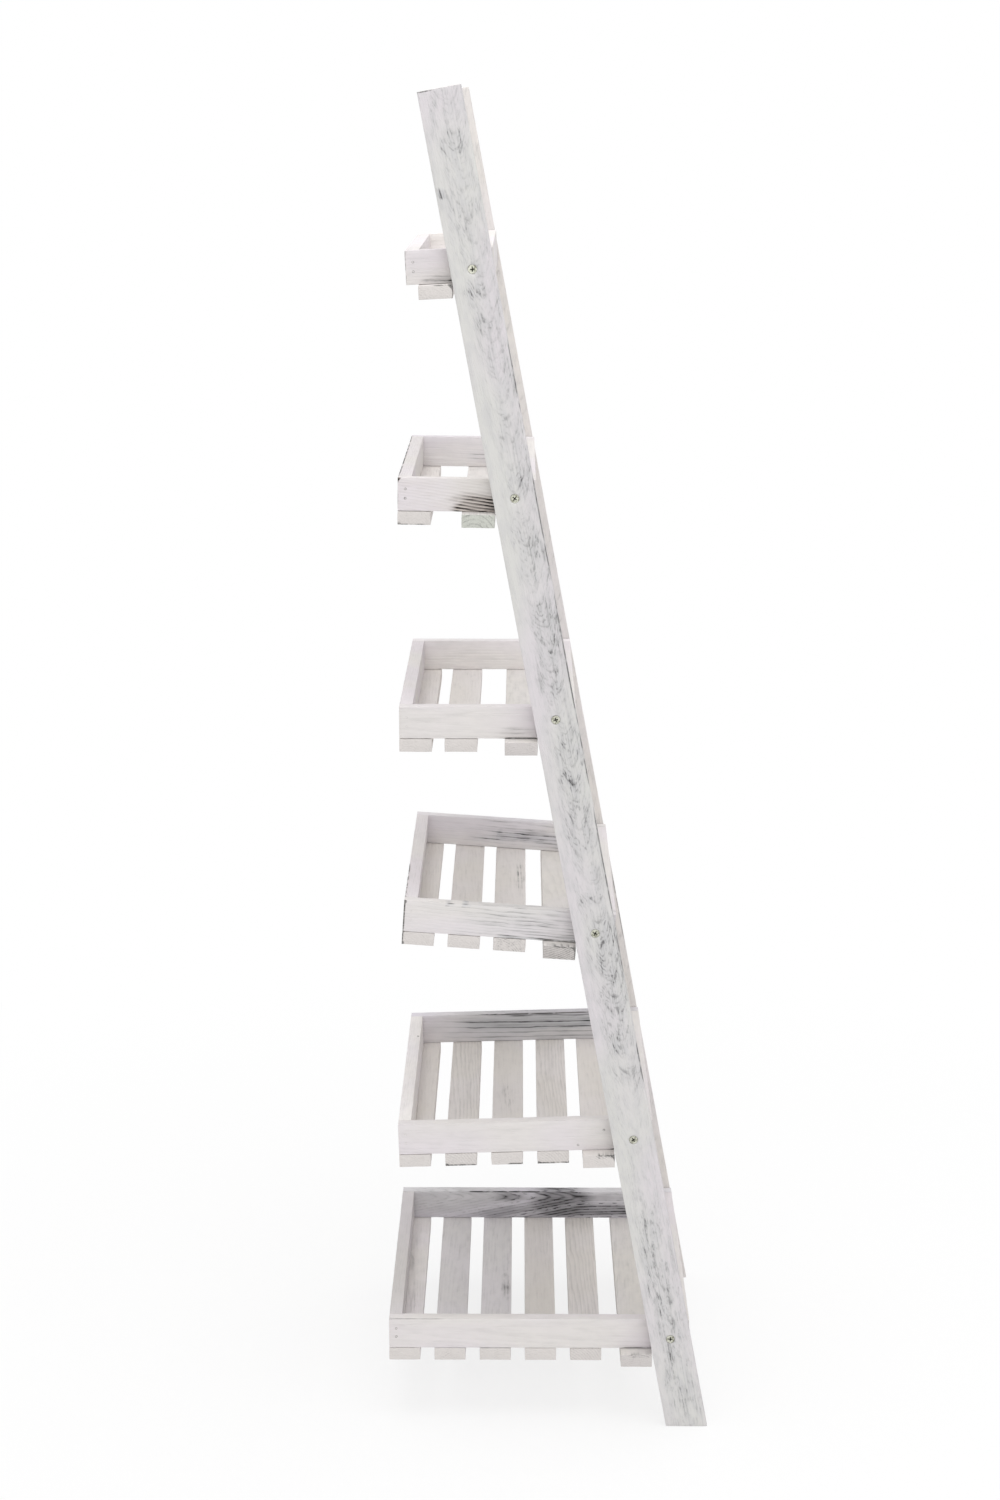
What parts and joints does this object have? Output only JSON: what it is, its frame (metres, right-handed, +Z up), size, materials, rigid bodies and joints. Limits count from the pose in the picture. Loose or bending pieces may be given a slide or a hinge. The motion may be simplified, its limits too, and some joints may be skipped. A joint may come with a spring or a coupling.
{
  "type": "step shelf",
  "caption": "Leaning ladder-style step shelf in whitewashed wood: tilted side rails carry open slatted trays that deepen towards the floor and turn on side screws.",
  "frame": {"origin": "on the floor, in the middle of the footprint", "axes": "+Z up, the front faces -Y, the wall is at +Y, X runs across the shelf"},
  "size_m": [0.465, 0.3896, 1.5989],
  "materials": {
    "whitewashed_wood": "chalky whitewash over softwood, the grey grain showing through",
    "zinc_screw": "zinc-plated, slightly yellow"
  },
  "bodies": {
    "rails": {"left_rail": "whitewashed_wood", "right_rail": "whitewashed_wood"},
    "tray_1": {"tray_1_front_board": "whitewashed_wood", "tray_1_left_end": "whitewashed_wood", "tray_1_pivot_screws": "zinc_screw", "tray_1_rear_board": "whitewashed_wood", "tray_1_right_end": "whitewashed_wood", "tray_1_stop_slat": "whitewashed_wood"},
    "tray_2": {"tray_2_front_board": "whitewashed_wood", "tray_2_left_end": "whitewashed_wood", "tray_2_pivot_screws": "zinc_screw", "tray_2_rear_board": "whitewashed_wood", "tray_2_right_end": "whitewashed_wood", "tray_2_slat_1": "whitewashed_wood", "tray_2_stop_slat": "whitewashed_wood"},
    "tray_3": {"tray_3_front_board": "whitewashed_wood", "tray_3_left_end": "whitewashed_wood", "tray_3_pivot_screws": "zinc_screw", "tray_3_rear_board": "whitewashed_wood", "tray_3_right_end": "whitewashed_wood", "tray_3_slat_1": "whitewashed_wood", "tray_3_slat_2": "whitewashed_wood", "tray_3_stop_slat": "whitewashed_wood"},
    "tray_4": {"tray_4_front_board": "whitewashed_wood", "tray_4_left_end": "whitewashed_wood", "tray_4_pivot_screws": "zinc_screw", "tray_4_rear_board": "whitewashed_wood", "tray_4_right_end": "whitewashed_wood", "tray_4_slat_1": "whitewashed_wood", "tray_4_slat_2": "whitewashed_wood", "tray_4_slat_3": "whitewashed_wood", "tray_4_stop_slat": "whitewashed_wood"},
    "tray_5": {"tray_5_front_board": "whitewashed_wood", "tray_5_left_end": "whitewashed_wood", "tray_5_pivot_screws": "zinc_screw", "tray_5_rear_board": "whitewashed_wood", "tray_5_right_end": "whitewashed_wood", "tray_5_slat_1": "whitewashed_wood", "tray_5_slat_2": "whitewashed_wood", "tray_5_slat_3": "whitewashed_wood", "tray_5_slat_4": "whitewashed_wood", "tray_5_stop_slat": "whitewashed_wood"},
    "tray_6": {"tray_6_front_board": "whitewashed_wood", "tray_6_left_end": "whitewashed_wood", "tray_6_pivot_screws": "zinc_screw", "tray_6_rear_board": "whitewashed_wood", "tray_6_right_end": "whitewashed_wood", "tray_6_slat_1": "whitewashed_wood", "tray_6_slat_2": "whitewashed_wood", "tray_6_slat_3": "whitewashed_wood", "tray_6_slat_4": "whitewashed_wood", "tray_6_slat_5": "whitewashed_wood", "tray_6_stop_slat": "whitewashed_wood"}
  },
  "joints": [
    {"name": "tray_1_pivot", "type": "hinge", "parent": "rails", "child": "tray_1", "pos_m": [0, 0.08964, 1.39765], "axis": [1, 0, 0], "range_deg": [0, 50]},
    {"name": "tray_2_pivot", "type": "hinge", "parent": "rails", "child": "tray_2", "pos_m": [0, 0.04208, 1.14102], "axis": [1, 0, 0], "range_deg": [0, 58]},
    {"name": "tray_3_pivot", "type": "hinge", "parent": "rails", "child": "tray_3", "pos_m": [0, -0.00549, 0.88439], "axis": [1, 0, 0], "range_deg": [0, 80]},
    {"name": "tray_4_pivot", "type": "hinge", "parent": "rails", "child": "tray_4", "pos_m": [0, -0.05305, 0.62776], "axis": [1, 0, 0], "range_deg": [0, 54]},
    {"name": "tray_5_pivot", "type": "hinge", "parent": "rails", "child": "tray_5", "pos_m": [0, -0.10061, 0.37113], "axis": [1, 0, 0], "range_deg": [0, 48]},
    {"name": "tray_6_pivot", "type": "hinge", "parent": "rails", "child": "tray_6", "pos_m": [0, -0.14818, 0.1145], "axis": [1, 0, 0], "range_deg": [0, 34]}
  ]
}
